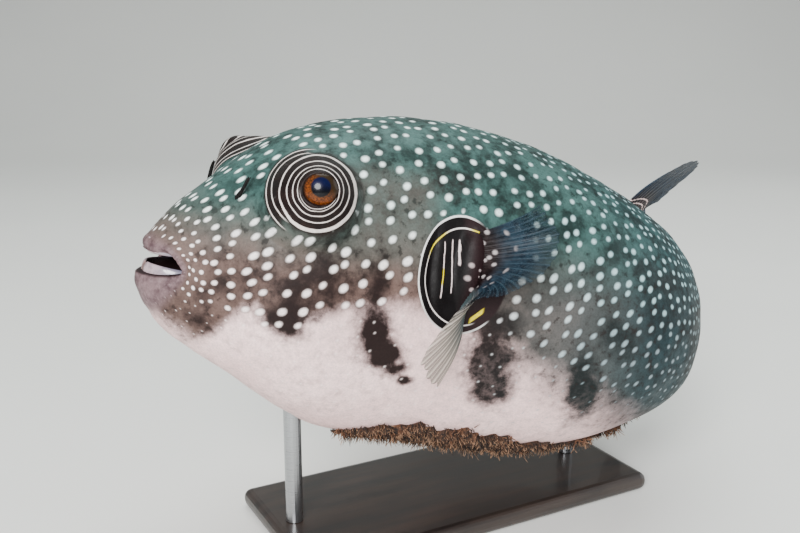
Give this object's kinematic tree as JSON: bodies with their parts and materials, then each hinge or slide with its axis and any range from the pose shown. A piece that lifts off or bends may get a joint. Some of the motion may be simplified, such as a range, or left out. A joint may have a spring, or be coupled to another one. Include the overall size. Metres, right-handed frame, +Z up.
{
  "type": "spotted pufferfish",
  "caption": "Life-size still model of a spotted pufferfish hovering nose up with its tail curled away, held on a flat base by two short rods.",
  "frame": {"origin": "the middle of the model's bounding box, at the underside of the stand's base", "axes": "+X towards the tail, the fish's left side faces -Y, +Z up"},
  "size_m": [0.3702, 0.208, 0.1937],
  "materials": {
    "skin": "moist scaleless skin, green-grey and brown with white spots, pale pink belly",
    "fin": "thin rayed membrane, dark blue-grey",
    "eyeball": "wet, glossy, orange-brown iris and blue-black pupil",
    "tooth": "satin enamel of the fused beak plates",
    "growth": "matt brown tufted growth on the belly",
    "rod": "brushed",
    "base": "dark stained, satin"
  },
  "bodies": {
    "root": {"snout": "skin", "head": "skin", "trunk": "skin", "tail_stalk": "skin", "eye_left": "eyeball", "eye_right": "eyeball", "nose_flap_left": "skin", "nose_flap_right": "skin", "beak_upper": "tooth", "beak_lower": "tooth", "pectoral_fin_left": "fin", "pectoral_fin_right": "fin", "dorsal_fin": "fin", "anal_fin": "fin", "caudal_fin": "fin", "belly_growth": "growth", "stand_rod_front": "rod", "stand_rod_rear": "rod", "stand_base": "base"}
  },
  "joints": []
}
